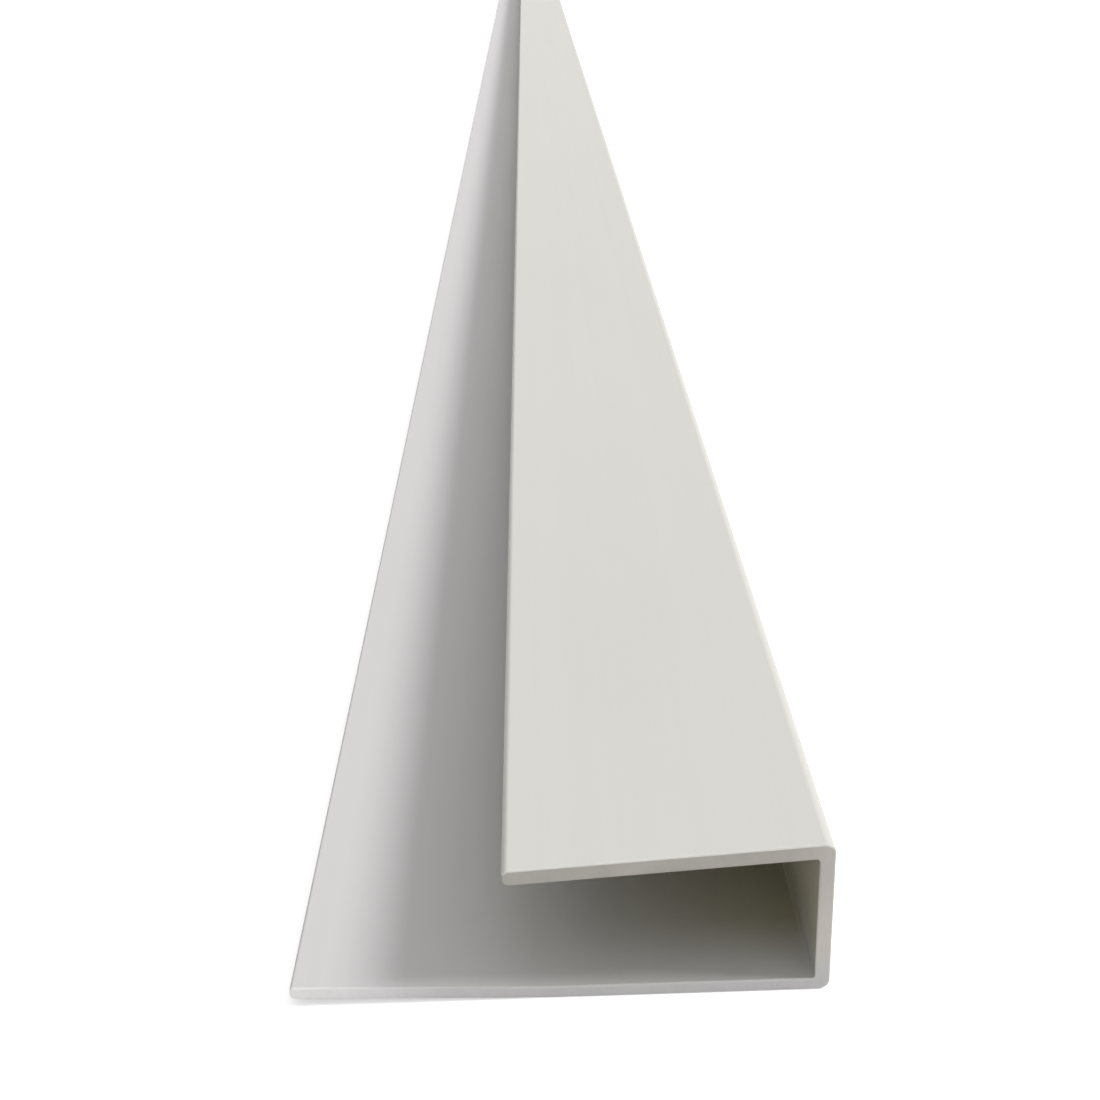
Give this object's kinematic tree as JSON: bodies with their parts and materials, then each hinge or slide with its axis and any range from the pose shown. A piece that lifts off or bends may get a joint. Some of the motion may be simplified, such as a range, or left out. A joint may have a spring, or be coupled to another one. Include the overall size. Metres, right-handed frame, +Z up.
{
  "type": "ceiling end trim",
  "caption": "J-shaped PVC end trim for ceiling panels: a long fixing flange, a web and a short toed-in leg that grip and cap the panel's cut edge.",
  "frame": {"origin": "centre of the footprint, on the floor that the long flange's flat root lies on", "axes": "+Z up, +Y along the stock, +X from the flange's tip across the section to the web"},
  "size_m": [0.04, 2.6, 0.0127],
  "materials": {
    "white_pvc": "satin"
  },
  "bodies": {
    "root": {"end_trim": "white_pvc"}
  },
  "joints": []
}
